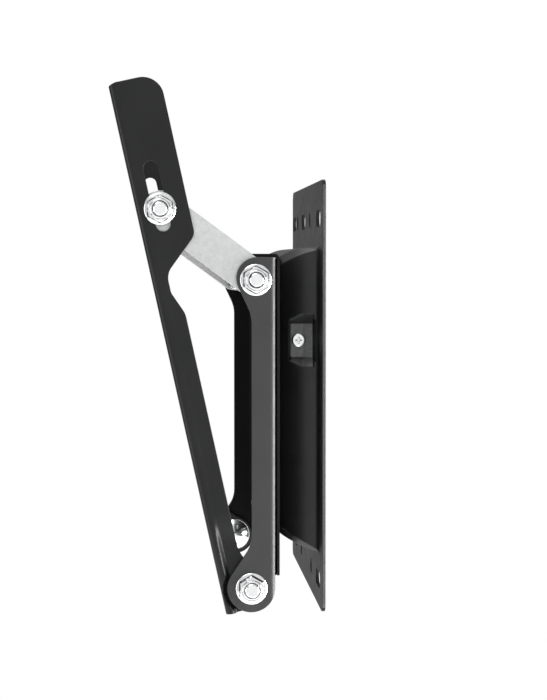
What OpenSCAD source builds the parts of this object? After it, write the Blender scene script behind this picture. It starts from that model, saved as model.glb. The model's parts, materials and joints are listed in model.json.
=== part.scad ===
// Tilting wall mount for a flat screen.
// X runs along the wall, Y points into the wall, Z is up. The origin is on the
// back of the wall plate, on its centre line, level with the upper hole row.

/* [Wall plate] */
// Width of the wall plate along the wall
plate_w = 220; // [216:1:240]
// Height of the wall plate
plate_h = 245; // [240:1:260]
// Thickness of the wall plate sheet
plate_t = 2; // [1.6:0.1:2.4]
// Corner radius of the wall plate
plate_corner_r = 6; // [3:0.5:12]
// Height of the upper hole row above the middle of the plate
hole_row_up = 101; // [98:1:106]
// Distance of the lower hole row below the middle of the plate
hole_row_down = 107; // [104:1:110]
// Diameter of the round wall holes and width of the wall slots
wall_hole_d = 9; // [7:0.5:10]
// Length of the wall slots, end to end
wall_slot_l = 26; // [22:1:28]

/* [Drawn box] */
// Width of the drawn box where it leaves the plate
box_w = 176; // [170:1:180]
// Height of the drawn box where it leaves the plate
box_h = 174; // [172:1:178]
// Distance of the box's middle below the middle of the plate
box_drop = 3.5; // [2:0.5:5]
// Distance of the box's front face from the wall
box_depth = 26; // [25:0.5:27]
// Radius of the box's upright corners
box_corner_r = 14; // [10:1:18]
// Distance of each recessed screw land from the centre line
land_x = 80; // [79.5:0.5:81]
// Height of the screw lands above the middle of the plate
land_up = 31; // [28:1:34]

/* [Cradle] */
// Width over the cradle's side flanges
cradle_w = 220; // [216:1:224]
// Thickness of the cradle, rail and tab sheet
sheet_t = 2; // [1.8:0.1:2.2]
// Thickness of the hanger plate
hanger_t = 1.6; // [1.4:0.1:2]
// Depth of the side flanges, from the back of the web to the front edge
flange_d = 14.2; // [13:0.2:15]
// Outer radius of the bend between web and flange
bend_r = 4; // [3:0.5:5]

/* [Tilt] */
// Angle of the rails from upright as modelled
tilt = 12.4; // [12:0.1:12.8]
// Distance of the lower pivots from the wall
lower_pivot_depth = 42; // [41.5:0.1:42.5]
// Distance of the lower pivots below the middle of the plate
lower_pivot_down = 108; // [107:0.5:109]
// Distance of the upper pivots from the wall
upper_pivot_depth = 39.5; // [39:0.1:40]
// Height of the upper pivots above the middle of the plate
upper_pivot_up = 66; // [65:0.5:67]

/* [Rails] */
// Length of a rail below its lower pivot
rail_below = 11.8; // [11.6:0.1:12.4]
// Length of a rail above its lower pivot
rail_above = 293.4; // [285:0.5:300]
// Distance from the lower pivot to the rail's front face, square to it
rail_front = 17.1; // [17:0.1:17.6]
// Distance from the lower pivot line to the back edge of the rail's upper part
rail_back = 12; // [11.5:0.5:12.5]
// Width of the rail's front strip, which the screen is screwed to
strip_w = 26; // [24:1:30]
// Hole spacing of the screen's screws across the two rails
screen_pitch = 200; // [199:1:201]
// Diameter of the screen screw holes
screen_hole_d = 6.6; // [6.4:0.1:7]
// Width of the tilt slot
slot_w = 8.4; // [8.3:0.1:8.6]
// Length of the tilt slot, end to end
slot_l = 40; // [39:0.2:41]
// Height of the slot's middle above the lower pivot, along the rail
slot_mid = 226.9; // [226.6:0.1:227.2]
// Distance of the slot's line in front of the pivot line
slot_front = 4; // [3.8:0.1:4.2]

/* [Links] */
// Height of the slot bolt above the lower pivot, along the rail
slot_bolt_up = 219.5; // [219:0.1:220]
// Width of a link
link_w = 21; // [19:0.5:22]
// Thickness of a link
link_t = 3; // [2.5:0.1:3.2]

/* [Fasteners] */
// Diameter of the pivot bolts
bolt_d = 8; // [7.9:0.05:8]
// Diameter of the slot bolt where it runs through the tilt slot
neck_d = 7; // [6.8:0.1:7]
// Diameter of the lower bolts' domed heads
head_d = 20.6; // [19:0.2:21]
// Diameter of the upper and slot bolts' domed heads
small_head_d = 18; // [17:0.2:18.4]
// Height of the domed bolt heads
head_h = 4.8; // [4:0.1:5]
// Width of the flange nuts across their flats
nut_af = 13; // [12.6:0.1:13.2]
// Diameter of the nuts' flanges
nut_flange_d = 17.9; // [17:0.1:18]
// Height of the flange nuts
nut_h = 8; // [7:0.5:9]
// Diameter of the lock screws' heads
lock_head_d = 8; // [7.6:0.1:8.2]
// Diameter of the lock screws
lock_d = 4; // [3.9:0.05:4]

/* [Hidden] */

$fn = 64;
hull_fn = 32;
black_paint = [0.11, 0.11, 0.12];
zinc = [0.80, 0.81, 0.82];
galvanised = [0.70, 0.71, 0.71];
nylon = [0.90, 0.90, 0.87];

right = 1;
left = -1;
over = 1;                       // how far a cutter runs past a face
slack = 0.2;                    // gap beside a part that turns
running = 0.05;                 // radial clearance of a turning bore
loose = 0.2;                    // radial clearance of a plain bolt hole

mid_z = -hole_row_up;
low_row_z = mid_z - hole_row_down;

// Wall holes, as distances from the centre line
upper_slots = [82, -22, -93];
upper_rounds = [25, -67];
lower_slots = [82, -82];
lower_rounds = [36, -36];

// Drawn box
box_z = mid_z - box_drop;
crown_r = 45;                   // how the box's walls bow inwards towards the front
crown_slope = 0.15;
box_slices = 6;
land_z = mid_z + land_up;
land_h = 19;
land_back = 5;                  // distances of the land's two edges from the wall
land_front = 18;
land_ramp = 9;
lock_y = -13.2;

// Hooks of the hanger plate, and the slots that they drop into
hook_x = 52;
hook_t = 2;
hook_ups = [46, -52];
hook_reach = 6;
hook_neck = 10;
hook_drop = 8;
hook_gap = 0.5;
tab_x = 68;
tab_h = 16;
tab_back = 8;

// Lateral stack, from the outside in
outer_x = cradle_w / 2;
inner_x = outer_x - sheet_t;
washer_t = 0.8;
link_x = inner_x - washer_t - slack - link_t;
ear_x = inner_x - washer_t - slack - sheet_t;
ear_head_x = ear_x - slack;
link_head_x = link_x - slack;
glide_x = link_x + link_t;

// Cradle
web_y = -box_depth - hanger_t;
front_y = web_y - flange_d;
web_top = mid_z + 78.8;
web_bottom = mid_z - 101;
top_lobe_r = 11.8;
top_lobe = [front_y + 3.2, web_top - top_lobe_r];
top_slope = 25;                 // slopes of the lobes' front edges from upright
top_fillet_r = 20;
low_lobe_r = 13.6;
low_fillet_r = 18;
low_slope = 33.7;
lower_pivot = [-lower_pivot_depth, mid_z - lower_pivot_down];
upper_pivot = [-upper_pivot_depth, mid_z + upper_pivot_up];
rivet_xs = [-80, 0, 80];
rivet_ups = [58, -84];
rivet_d = 5;
rivet_head_d = 10;
rivet_head_h = 2.4;

// Rail, in its own frame: [distance behind the pivot line, height above the pivot]
rail_bend_r = 3.5;
rail_waist = [-8, 183.4];       // foot of the slope under the upper part
rail_shoulder = [rail_back, 201.4];
rail_lower_back = -2.7;
rail_waist_low = 172.5;
rail_lower_top = 159.5;
ear_r = rail_below;
ear_fillet_r = 20;
step_inset = 0.9;               // keeps the wall of the ear's step inside the rounded bend
ear_top = 51.5;
ear_line = -13.9;                // clear of the cradle's round lobe
screen_mid = 140;               // middle of the screen's hole pattern
screen_holes = [-100, -50, 50, 100];
screen_slots = [-125, -75, -25, 25, 75, 125];
screen_slot_l = 16;

slot_bolt = lower_pivot + rail_to_side([-slot_front, slot_bolt_up]);

// Relief in a link's upper end, from one angle to another off the line of its two bolts
relief_r = 9.3;
relief_from = -8;
relief_to = 88;
relief_mid = (relief_from + relief_to) / 2;

// Fasteners
bolt_r = bolt_d / 2;
bolt_end = outer_x + nut_h + 1.6;
slot_washer_d = 19;
slot_washer_t = 1.6;
slot_nut_x = outer_x + slack + slot_washer_t;
slot_bolt_end = slot_nut_x + nut_h + 1.6;
nylon_d = 15;
lock_head_h = 2.8;
lock_end = 64;
lock_nut_af = 7;
lock_nut_t = 3.2;

// ---- Helpers ----

function unit(v) = v / norm(v);

// A point of the rail's own frame, as [Y, Z] from the lower pivot
function rail_to_side(p) = [
    p[0] * cos(tilt) - p[1] * sin(tilt),
    p[0] * sin(tilt) + p[1] * cos(tilt)
];

// Inward step of the drawn box's walls at a height above the plate
function crown(h) = crown_r - sqrt(crown_r * crown_r - h * h) + crown_slope * h;

// A [Y, Z] profile run along X
module along_x(start, len) {
    translate([start, 0, 0]) rotate([90, 0, 90]) linear_extrude(len) children();
}

// An [X, Z] profile run towards the room from a distance off the wall
module off_wall(start, len) {
    translate([0, -start, 0]) rotate([90, 0, 0]) linear_extrude(len) children();
}

module rod_x(at, start, len, d) {
    translate([start, at[0], at[1]]) rotate([0, 90, 0]) cylinder(h = len, d = d);
}

module on_side(side) {
    if (side == right) children();
    else mirror([1, 0, 0]) children();
}

module in_rail_frame() {
    translate([0, lower_pivot[0], lower_pivot[1]]) rotate([tilt, 0, 0]) children();
}

// The area between a corner and the arc that rounds it
module corner_area(corner, towards_a, towards_b, r) {
    a = unit(towards_a - corner);
    b = unit(towards_b - corner);
    half = acos(a * b) / 2;
    reach = r / tan(half);
    centre = corner + unit(a + b) * r / sin(half);
    difference() {
        polygon([corner, corner + a * reach, centre, corner + b * reach]);
        translate(centre) circle(r);
    }
}

module rounded_rect(w, h, r) {
    difference() {
        square([w, h], center = true);
        for (sx = [-1, 1], sz = [-1, 1])
            corner_area([sx * w / 2, sz * h / 2], [0, sz * h / 2], [sx * w / 2, 0], r);
    }
}

module slot_2d(len, w) {
    square([len - w, w], center = true);
    for (s = [-1, 1]) translate([s * (len - w) / 2, 0]) circle(d = w);
}

// ---- Wall side ----

// The drawn box's outer form, or its hollow when wall is the sheet thickness
module box_form(wall) {
    depth = box_depth - wall - plate_t;
    translate([0, 0, box_z]) hull() for (i = [0 : box_slices]) {
        h = depth * i / box_slices;
        step = 2 * (crown(h) + wall);
        off_wall(plate_t + h - 0.01, 0.01)
            slice(box_w - step, box_h - step, box_corner_r);
    }
}

module slice(w, h, r) {
    for (sx = [-1, 1], sz = [-1, 1])
        translate([sx * (w / 2 - r), sz * (h / 2 - r)]) circle(r, $fn = hull_fn);
}

// The straight part of the hollow, through the plate itself
module box_mouth() {
    step = 2 * plate_t;
    translate([0, 0, box_z]) off_wall(-over, plate_t + over + 0.01)
        rounded_rect(box_w - step, box_h - step, box_corner_r);
}

// The recess pressed into a side wall for its lock screw
module side_recess(side, wall) {
    z0 = land_z - land_h / 2;
    z1 = land_z + land_h / 2;
    x0 = land_x - wall;
    x1 = land_x + land_ramp;
    on_side(side) off_wall(land_back - wall, land_front - land_back + 2 * wall) polygon([
        [x0, z0 - wall / 2], [x0, z1 + wall / 2],
        [x1, z1 + land_ramp + wall / 2], [x1, z0 - land_ramp - wall / 2]
    ]);
}

module wall_openings() {
    off_wall(-over, plate_t + 2 * over) {
        for (x = upper_slots) translate([x, 0]) slot_2d(wall_slot_l, wall_hole_d);
        for (x = lower_slots) translate([x, low_row_z]) slot_2d(wall_slot_l, wall_hole_d);
    }
    for (x = upper_rounds) wall_hole(x, 0);
    for (x = lower_rounds) wall_hole(x, low_row_z);
}

module wall_hole(x, z) {
    translate([x, over, z]) rotate([90, 0, 0]) cylinder(h = plate_t + 2 * over, d = wall_hole_d);
}

module hook_slots() {
    for (sx = [-1, 1]) {
        for (up = hook_ups)
            translate([sx * hook_x - hook_t, -box_depth - over, mid_z + up - hook_drop - hook_gap])
                cube([2 * hook_t, plate_t + 2 * over, hook_neck + hook_drop + 2 * hook_gap]);
        translate([sx * tab_x - hook_t, -box_depth - over, land_z - tab_h / 2 - 1])
            cube([2 * hook_t, plate_t + 2 * over, tab_h + 2]);
    }
}

module wall_plate() {
    color(black_paint) difference() {
        union() {
            translate([0, 0, mid_z]) off_wall(0, plate_t)
                rounded_rect(plate_w, plate_h, plate_corner_r);
            difference() {
                box_form(0);
                for (side = [left, right]) side_recess(side, 0);
            }
        }
        difference() {
            box_form(plate_t);
            for (side = [left, right]) side_recess(side, plate_t);
        }
        box_mouth();
        wall_openings();
        hook_slots();
        for (side = [left, right])
            on_side(side) rod_x([lock_y, land_z], land_x - 6, 12, lock_d + 2 * loose);
    }
}

// ---- Cradle ----

module hook(x, up) {
    z = mid_z + up;
    y = -box_depth;
    along_x(x - hook_t / 2, hook_t) polygon([
        [y - hanger_t, z], [y - hanger_t, z + hook_neck],
        [y + hook_reach, z + hook_neck], [y + hook_reach, z - hook_drop],
        [y + plate_t + hook_gap, z - hook_drop], [y + plate_t + hook_gap, z]
    ]);
}

module hanger_plate() {
    w = cradle_w - 2;
    lip_w = 2 * (link_x - 0.6);
    lip_d = flange_d + hanger_t - 1;
    lip_z = web_top + 0.3;
    color(black_paint) difference() {
        union() {
            translate([-w / 2, web_y, web_bottom]) cube([w, hanger_t, lip_z + hanger_t - web_bottom]);
            translate([-lip_w / 2, -box_depth - lip_d, lip_z]) cube([lip_w, lip_d, hanger_t]);
            for (sx = [-1, 1], up = hook_ups) hook(sx * hook_x, up);
            for (sx = [-1, 1])
                translate([sx * tab_x - hook_t / 2, web_y, land_z - tab_h / 2])
                    cube([hook_t, box_depth - tab_back + hanger_t, tab_h]);
        }
        for (x = rivet_xs, up = rivet_ups)
            translate([x, -box_depth + over, mid_z + up])
                rotate([90, 0, 0]) cylinder(h = hanger_t + 2 * over, d = rivet_d);
        for (side = [left, right])
            on_side(side) rod_x([lock_y, land_z], tab_x - 3, 6, lock_d);
    }
}

// Plan of the cradle: a web with two flanges, bent round
module cradle_plan() {
    inner_r = bend_r - sheet_t;
    inner_y = web_y - sheet_t;
    reach = flange_d + low_lobe_r;
    difference() {
        translate([-outer_x, web_y - reach]) square([cradle_w, reach]);
        difference() {
            translate([-inner_x, web_y - reach - over]) square([2 * inner_x, reach + over - sheet_t]);
            for (s = [-1, 1])
                corner_area([s * inner_x, inner_y], [0, inner_y], [s * inner_x, front_y], inner_r);
        }
        for (s = [-1, 1])
            corner_area([s * outer_x, web_y], [0, web_y], [s * outer_x, front_y], bend_r);
    }
}

// Side view of a cradle flange: two round lobes on a straight strip
module cradle_side() {
    bottom = lower_pivot[1] - low_lobe_r;
    low_back = lower_pivot[0] + low_lobe_r;
    top_edge = web_top - top_lobe[1];
    // each slope touches its lobe, and meets the strip's front edge in a corner
    top_tan = tan(top_slope);
    top_run = top_lobe[0] - top_lobe_r / cos(top_slope);
    top_corner = [front_y, top_lobe[1] - (front_y - top_run) / top_tan];
    top_tip = [top_run - top_edge * top_tan, web_top];
    low_tan = tan(low_slope);
    low_run = lower_pivot[0] - low_lobe_r / cos(low_slope);
    low_corner = [front_y, lower_pivot[1] + (front_y - low_run) / low_tan];
    low_tip = [low_run - low_lobe_r * low_tan, bottom];
    difference() {
        polygon([
            [web_y, web_top], top_tip, top_corner, low_corner, low_tip,
            [low_back, bottom], [low_back, web_bottom], [web_y, web_bottom]
        ]);
        corner_area(top_tip, [web_y, web_top], top_corner, top_lobe_r);
        corner_area(low_tip, [low_back, bottom], low_corner, low_lobe_r);
        corner_area([low_back, bottom], low_tip, [low_back, web_bottom], low_lobe_r);
    }
    corner_area(top_corner, top_tip, low_corner, top_fillet_r);
    corner_area(low_corner, top_corner, low_tip, low_fillet_r);
}

module cradle_channel() {
    color(black_paint) difference() {
        intersection() {
            translate([0, 0, web_bottom - 30]) linear_extrude(web_top - web_bottom + 40) cradle_plan();
            along_x(-outer_x, cradle_w) cradle_side();
        }
        translate([-outer_x + bend_r, web_y - bend_r, web_bottom - 30])
            cube([cradle_w - 2 * bend_r, bend_r + over, 30]);
        for (x = rivet_xs, up = rivet_ups)
            translate([x, web_y + over, mid_z + up])
                rotate([90, 0, 0]) cylinder(h = sheet_t + 2 * over, d = rivet_d);
        for (side = [left, right], at = [lower_pivot, upper_pivot])
            on_side(side) rod_x(at, inner_x - over, sheet_t + 2 * over, bolt_d + 2 * loose);
    }
}

module cradle_rivets() {
    cap_r = (pow(rivet_head_d / 2, 2) + pow(rivet_head_h, 2)) / (2 * rivet_head_h);
    color(zinc) for (x = rivet_xs, up = rivet_ups)
        translate([x, -box_depth, mid_z + up]) rotate([90, 0, 0]) {
            cylinder(h = hanger_t + sheet_t, d = rivet_d);
            translate([0, 0, hanger_t + sheet_t]) intersection() {
                cylinder(h = rivet_head_h, d = rivet_head_d);
                translate([0, 0, rivet_head_h - cap_r]) sphere(cap_r);
            }
        }
}

// ---- Lock screws ----

module lock_screw(side) {
    cross_w = 1.1;
    cross_l = 4.4;
    cross_h = 1.5;
    tip_x = land_x + lock_head_h;
    color(zinc) on_side(side) difference() {
        union() {
            rod_x([lock_y, land_z], lock_end, land_x - lock_end, lock_d);
            translate([land_x, lock_y, land_z]) rotate([0, 90, 0]) rotate_extrude() {
                square([lock_head_d / 2, lock_head_h - 1]);
                square([lock_head_d / 2 - 1, lock_head_h]);
                translate([lock_head_d / 2 - 1, lock_head_h - 1]) intersection() {
                    circle(1);
                    square(1);
                }
            }
        }
        for (turn = [0, 90]) translate([tip_x - cross_h, lock_y, land_z]) rotate([turn, 0, 0])
            translate([0, -cross_l / 2, -cross_w / 2]) cube([cross_h + over, cross_l, cross_w]);
    }
}

module lock_nut(side) {
    x = tab_x - hook_t / 2 - lock_nut_t;
    color(zinc) on_side(side) difference() {
        translate([x, lock_y, land_z]) rotate([0, 90, 0])
            cylinder(h = lock_nut_t, d = lock_nut_af / cos(30), $fn = 6);
        rod_x([lock_y, land_z], x - over, lock_nut_t + 2 * over, lock_d);
    }
}

// ---- Rails ----

// Plan of a right rail: a front strip and a side flange, bent round
module rail_plan() {
    inner_r = rail_bend_r - sheet_t;
    corner = [outer_x, -rail_front];
    inner = [inner_x, sheet_t - rail_front];
    reach = rail_front + rail_back;
    difference() {
        translate([outer_x - strip_w, -rail_front]) square([strip_w, reach]);
        difference() {
            translate([inner_x - strip_w, inner[1]]) square([strip_w, reach]);
            corner_area(inner, inner + [-1, 0], inner + [0, 1], inner_r);
        }
        corner_area(corner, corner + [-1, 0], corner + [0, 1], rail_bend_r);
    }
}

// Side view of a rail's flange
module rail_side() {
    top = rail_above;
    foot_turn = [rail_waist[0], rail_waist_low];
    knee = [rail_lower_back, rail_lower_top];
    difference() {
        polygon([
            [-rail_front, -rail_below], [rail_lower_back, -rail_below], knee, foot_turn,
            rail_waist, rail_shoulder, [rail_back, top], [-rail_front, top]
        ]);
        corner_area([rail_back, top], [0, top], rail_shoulder, 12);
        corner_area([-rail_front, top], [0, top], [-rail_front, 0], 2);
        corner_area(rail_shoulder, [rail_back, top], rail_waist, 7);
        corner_area(knee, [rail_lower_back, 0], foot_turn, 12);
    }
    corner_area(rail_waist, rail_shoulder, foot_turn, 10);
    corner_area(foot_turn, rail_waist, knee, 6);
    ear_side();
}

// The round end about the lower pivot
module ear_side() {
    fillet_x = rail_lower_back + ear_fillet_r;
    fillet_z = sqrt(pow(ear_fillet_r + ear_r, 2) - pow(fillet_x, 2));
    circle(ear_r);
    difference() {
        polygon([[0, 0], [fillet_x, fillet_z], [rail_lower_back, fillet_z], [rail_lower_back, 0]]);
        translate([fillet_x, fillet_z]) circle(ear_fillet_r);
    }
}

// The part of the side view that is set inwards, from a line near the front
module ear_zone(grow) {
    translate([ear_line - grow, -rail_below - over])
        square([ear_r - ear_line + over + grow, ear_top + rail_below + over + grow]);
}

module strip_hole(up, len) {
    translate([screen_pitch / 2, over - rail_front + sheet_t, up]) rotate([90, 0, 0])
        if (len > 0) linear_extrude(sheet_t + 2 * over) rotate(90) slot_2d(len, screen_hole_d);
        else cylinder(h = sheet_t + 2 * over, d = screen_hole_d);
}

module rail(side) {
    wall = sheet_t;
    color(black_paint) on_side(side) in_rail_frame() difference() {
        union() {
            intersection() {
                translate([0, 0, -rail_below]) linear_extrude(rail_below + rail_above) rail_plan();
                along_x(outer_x - strip_w - over, strip_w + 2 * over) difference() {
                    rail_side();
                    ear_zone(0);
                }
            }
            along_x(ear_x, sheet_t) intersection() {
                rail_side();
                ear_zone(wall);
            }
            along_x(ear_x, outer_x - ear_x - step_inset) intersection() {
                rail_side();
                difference() {
                    ear_zone(wall);
                    ear_zone(0);
                }
            }
        }
        along_x(inner_x - over, sheet_t + 2 * over)
            translate([-slot_front, slot_mid]) rotate(90) slot_2d(slot_l, slot_w);
        rod_x([0, 0], ear_x - over, sheet_t + 2 * over, bolt_d + 2 * running);
        for (up = screen_holes) strip_hole(screen_mid + up, 0);
        for (up = screen_slots) strip_hole(screen_mid + up, screen_slot_l);
    }
}

// ---- Links ----

// Outline of a link from the upper pivot towards the slot bolt. Its upper end has
// a relief of a smaller radius, which clears the cradle's web as the link swings.
module link_outline(span) {
    difference() {
        translate([span / 2, 0]) rounded_rect(span + link_w, link_w, link_w / 2);
        difference() {
            polygon([
                [0, 0], link_w * [-cos(relief_from), -sin(relief_from)],
                2 * link_w * [-cos(relief_mid), -sin(relief_mid)],
                link_w * [-cos(relief_to), -sin(relief_to)]
            ]);
            circle(relief_r);
        }
    }
}

module link(side) {
    span = slot_bolt - upper_pivot;
    color(galvanised) on_side(side) difference() {
        along_x(link_x, link_t) translate(upper_pivot)
            rotate(atan2(span[1], span[0])) link_outline(norm(span));
        rod_x(upper_pivot, link_x - over, link_t + 2 * over, bolt_d + 2 * running);
        rod_x(slot_bolt, link_x - over, link_t + 2 * over, bolt_d);
    }
}

// ---- Fasteners ----

// Domed head with its flat face at x, and the dome towards the centre line
module domed_head(at, x, d) {
    cap_r = (pow(d / 2, 2) + pow(head_h, 2)) / (2 * head_h);
    translate([x, at[0], at[1]]) rotate([0, -90, 0]) intersection() {
        cylinder(h = head_h, d = d);
        translate([0, 0, head_h - cap_r]) sphere(cap_r);
    }
}

module domed_bolt(side, at, head_x, d) {
    color(zinc) on_side(side) {
        domed_head(at, head_x, d);
        rod_x(at, head_x, bolt_end - head_x, bolt_d);
    }
}

module slot_bolt(side) {
    color(zinc) on_side(side) {
        domed_head(slot_bolt, link_x, small_head_d);
        rod_x(slot_bolt, link_x, glide_x + washer_t - link_x, bolt_d);
        rod_x(slot_bolt, glide_x, slot_nut_x - glide_x, neck_d);
        rod_x(slot_bolt, slot_nut_x, slot_bolt_end - slot_nut_x, bolt_d);
    }
}

// Flange nut seated on the plane at x, with a round collar at its end
module flange_nut(side, at, x) {
    collar_h = 1.6;
    flange_t = 1.4;
    cone_h = 1.6;
    color(zinc) on_side(side) difference() {
        translate([x, at[0], at[1]]) rotate([0, 90, 0]) {
            cylinder(h = flange_t, d = nut_flange_d);
            translate([0, 0, flange_t]) cylinder(h = cone_h, d1 = nut_flange_d, d2 = nut_af);
            cylinder(h = nut_h - collar_h, d = nut_af / cos(30), $fn = 6);
            cylinder(h = nut_h, d = nut_af - 1);
        }
        rod_x(at, x - over, nut_h + 2 * over, bolt_d);
    }
}

module washer(side, at, x, t, d, hole_d, tint) {
    color(tint) on_side(side) difference() {
        rod_x(at, x, t, d);
        rod_x(at, x - over, t + 2 * over, hole_d);
    }
}

module nylon_washer(side, at, x) {
    washer(side, at, x, washer_t, nylon_d, bolt_d, nylon);
}

wall_plate();
hanger_plate();
cradle_channel();
cradle_rivets();
lock_screw(right);  // lock_screw_right
lock_screw(left);  // lock_screw_left
lock_nut(right);  // lock_nut_right
lock_nut(left);  // lock_nut_left
rail(right);  // rail_right
rail(left);  // rail_left
link(right);  // link_right
link(left);  // link_left
domed_bolt(right, lower_pivot, ear_head_x, head_d);  // lower_bolt_right
domed_bolt(left, lower_pivot, ear_head_x, head_d);  // lower_bolt_left
flange_nut(right, lower_pivot, outer_x);  // lower_nut_right
flange_nut(left, lower_pivot, outer_x);  // lower_nut_left
nylon_washer(right, lower_pivot, inner_x - washer_t);  // lower_washer_right
nylon_washer(left, lower_pivot, inner_x - washer_t);  // lower_washer_left
domed_bolt(right, upper_pivot, link_head_x, small_head_d);  // upper_bolt_right
domed_bolt(left, upper_pivot, link_head_x, small_head_d);  // upper_bolt_left
flange_nut(right, upper_pivot, outer_x);  // upper_nut_right
flange_nut(left, upper_pivot, outer_x);  // upper_nut_left
nylon_washer(right, upper_pivot, inner_x - washer_t);  // upper_washer_right
nylon_washer(left, upper_pivot, inner_x - washer_t);  // upper_washer_left
slot_bolt(right);  // slot_bolt_right
slot_bolt(left);  // slot_bolt_left
flange_nut(right, slot_bolt, slot_nut_x);  // slot_nut_right
flange_nut(left, slot_bolt, slot_nut_x);  // slot_nut_left
washer(right, slot_bolt, outer_x + slack, slot_washer_t, slot_washer_d, neck_d, zinc);  // slot_washer_right
washer(left, slot_bolt, outer_x + slack, slot_washer_t, slot_washer_d, neck_d, zinc);  // slot_washer_left
nylon_washer(right, slot_bolt, glide_x);  // glide_washer_right
nylon_washer(left, slot_bolt, glide_x);  // glide_washer_left
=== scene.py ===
import json
from math import acos, atan, atan2, ceil, copysign, cos, degrees, pi, radians, sin, sqrt, tan, tau

import bmesh
import bpy
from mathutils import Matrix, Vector


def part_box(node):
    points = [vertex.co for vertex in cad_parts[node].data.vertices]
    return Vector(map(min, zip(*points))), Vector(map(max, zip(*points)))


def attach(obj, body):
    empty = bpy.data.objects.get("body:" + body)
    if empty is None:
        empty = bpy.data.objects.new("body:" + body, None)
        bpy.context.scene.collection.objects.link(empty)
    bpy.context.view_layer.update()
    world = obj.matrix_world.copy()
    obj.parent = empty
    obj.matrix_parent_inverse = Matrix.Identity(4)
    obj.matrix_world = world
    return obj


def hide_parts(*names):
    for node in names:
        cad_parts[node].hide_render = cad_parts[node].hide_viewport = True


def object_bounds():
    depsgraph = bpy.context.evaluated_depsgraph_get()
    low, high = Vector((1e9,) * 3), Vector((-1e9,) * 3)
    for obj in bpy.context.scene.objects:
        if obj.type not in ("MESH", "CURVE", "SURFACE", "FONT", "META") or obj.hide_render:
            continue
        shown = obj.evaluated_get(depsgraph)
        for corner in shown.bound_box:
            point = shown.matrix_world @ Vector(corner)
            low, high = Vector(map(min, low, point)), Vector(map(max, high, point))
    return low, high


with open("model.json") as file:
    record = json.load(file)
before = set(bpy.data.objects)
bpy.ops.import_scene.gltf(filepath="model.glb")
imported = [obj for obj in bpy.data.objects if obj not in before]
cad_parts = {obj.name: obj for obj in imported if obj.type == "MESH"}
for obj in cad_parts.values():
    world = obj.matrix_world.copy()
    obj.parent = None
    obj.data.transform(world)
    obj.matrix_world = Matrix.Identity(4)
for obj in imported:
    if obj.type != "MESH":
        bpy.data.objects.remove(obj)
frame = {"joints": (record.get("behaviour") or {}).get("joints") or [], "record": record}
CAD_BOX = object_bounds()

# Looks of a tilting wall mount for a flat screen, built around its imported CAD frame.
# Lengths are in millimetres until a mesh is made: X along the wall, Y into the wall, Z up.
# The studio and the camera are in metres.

SCENE = bpy.context.scene
SIDES = {"right": 1, "left": -1}
MM = 0.001

SHEET = 2.0  # thickness of the plate, cradle and rail sheet
RIM_STEPS = 3  # facets of each rounded sheet edge
ARC_STEP = 7.5  # largest turn of a drawn arc's facet, in degrees


# ---- Places from the frame ----

def mm_box(node):
    """Low and high corners of a CAD node."""
    low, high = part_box(node)
    return low / MM, high / MM


def axis_of(node):
    """[Y, Z] of a round node's axis."""
    low, high = mm_box(node)
    return Vector(((low.y + high.y) / 2, (low.z + high.z) / 2))


def joint_at(name):
    place = next(j for j in frame["joints"] if j["name"] == name)["pos_m"]
    return Vector((place[1] / MM, place[2] / MM))


def mount(name):
    return next(m for m in frame["record"]["mounts"] if m["name"] == name)


def hole_xs(name):
    """X of the two holes of a wall mount's line."""
    pattern = mount(name)
    middle = pattern["pos_m"][0] / MM
    half = pattern["dims"]["spacing_x_mm"] / 2
    return [middle - half, middle + half]


PLATE_LOW, PLATE_HIGH = mm_box("wall_plate")
PLATE_MIDDLE = (PLATE_LOW.z + PLATE_HIGH.z) / 2
BOX_FRONT = -PLATE_LOW.y  # distance of the drawn box's front from the wall
LOWER_PIVOT = joint_at("right_tilt")
UPPER_PIVOT = joint_at("right_link_swing")
SLOT_BOLT = axis_of("slot_nut_right")
LOCK_AXIS = axis_of("lock_nut_right")
SCREEN_HOLE = mount("screen_hole_right_a")
TILT = atan(SCREEN_HOLE["axis"][2] / SCREEN_HOLE["axis"][1])


# ---- Outlines ----

MITRE = 0.3  # keeps sharp corners from being moved too far


def pairs(loop):
    """Each item of a closed loop with the next one."""
    return zip(loop, loop[1:] + loop[:1])


def arc(centre, radius, start, end):
    """Points of an arc, with its angles in degrees."""
    steps = max(2, ceil(abs(end - start) / ARC_STEP))
    points = []
    for i in range(steps + 1):
        a = radians(start + (end - start) * i / steps)
        points.append(Vector((centre[0] + radius * cos(a), centre[1] + radius * sin(a))))
    return points


def rounded(corners):
    """A closed outline from (x, y, radius) corners."""
    points = []
    for i, (x, y, radius) in enumerate(corners):
        here = Vector((x, y))
        before = (Vector(corners[i - 1][:2]) - here).normalized()
        after = (Vector(corners[(i + 1) % len(corners)][:2]) - here).normalized()
        if not radius:
            points.append(here)
            continue
        half = before.angle(after) / 2
        centre = here + (before + after).normalized() * radius / sin(half)
        start = here + before * radius / tan(half) - centre
        end = here + after * radius / tan(half) - centre
        first = degrees(atan2(start.y, start.x))
        turn = degrees(atan2(start.cross(end), start.dot(end)))
        points += arc(centre, radius, first, first + turn)
    return points


def circle(x, y, radius, steps=32):
    turns = [tau * i / steps for i in range(steps)]
    return [Vector((x + radius * cos(a), y + radius * sin(a))) for a in turns]


def oblong(x, y, length, width, upright=False):
    """A slot's outline, with its long axis level or upright."""
    reach = (length - width) / 2
    points = arc((reach, 0), width / 2, -90, 90) + arc((-reach, 0), width / 2, 90, 270)
    if upright:
        points = [Vector((-p.y, p.x)) for p in points]
    return [p + Vector((x, y)) for p in points]


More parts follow.
